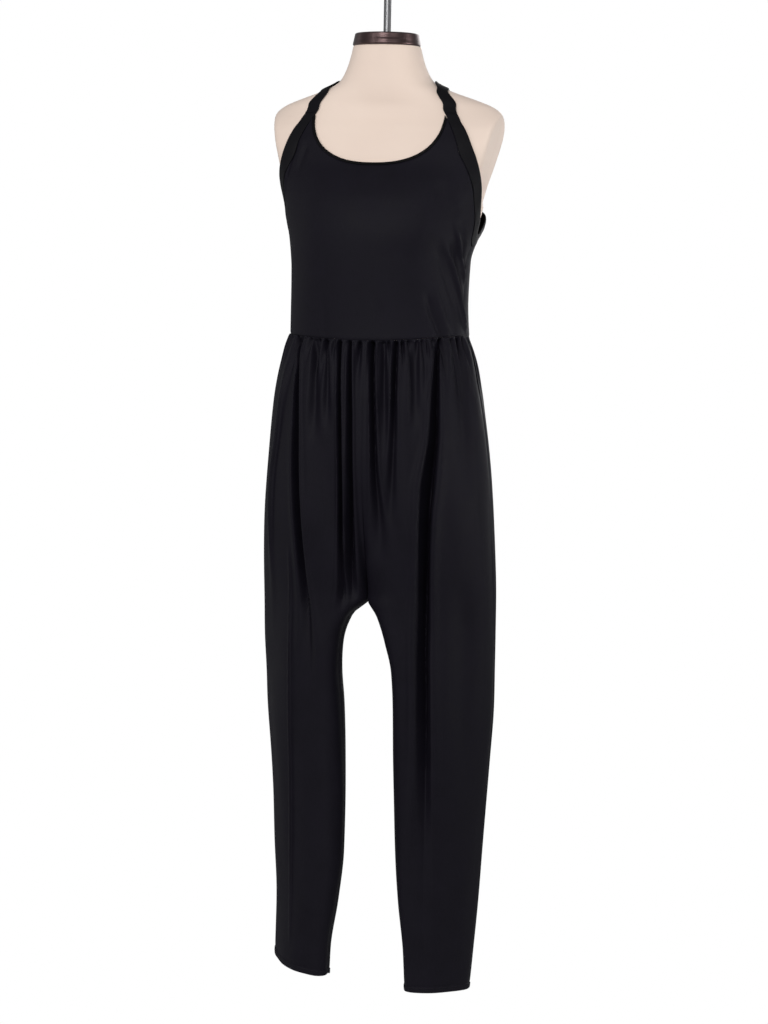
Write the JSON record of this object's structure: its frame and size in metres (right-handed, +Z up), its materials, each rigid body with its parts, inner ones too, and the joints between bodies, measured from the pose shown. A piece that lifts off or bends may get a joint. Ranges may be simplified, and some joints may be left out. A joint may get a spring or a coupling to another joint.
{
  "type": "jumpsuit on a hanging dress form",
  "caption": "Sleeveless scoop-neck jumpsuit with gathered waist and tapered drop-crotch legs, on a limbless dress form hung by a rod.",
  "frame": {"origin": "centre of the hanging rod's top end, on the neck's axis", "axes": "+Z up along the rod, -Y out of the garment's front, +X towards the wearer's left"},
  "size_m": [0.3827, 0.2465, 1.613],
  "materials": {
    "jersey": "smooth black knit with a soft sheen",
    "jersey_band": "folded black knit band",
    "form_cover": "pale beige stretch cover",
    "neck_cap_metal": "dark bronze, polished",
    "rod_chrome": "polished"
  },
  "bodies": {
    "root": {"front_bodice": "jersey", "back_bodice": "jersey", "armhole_band_left": "jersey_band", "strap_left": "jersey_band", "armhole_band_right": "jersey_band", "strap_right": "jersey_band", "front_neck_binding": "jersey_band", "back_neck_binding": "jersey_band", "leg_front_left": "jersey", "leg_back_left": "jersey", "leg_front_right": "jersey", "leg_back_right": "jersey", "dress_form": "form_cover", "neck_cap": "neck_cap_metal", "hanging_rod": "rod_chrome"}
  },
  "joints": []
}
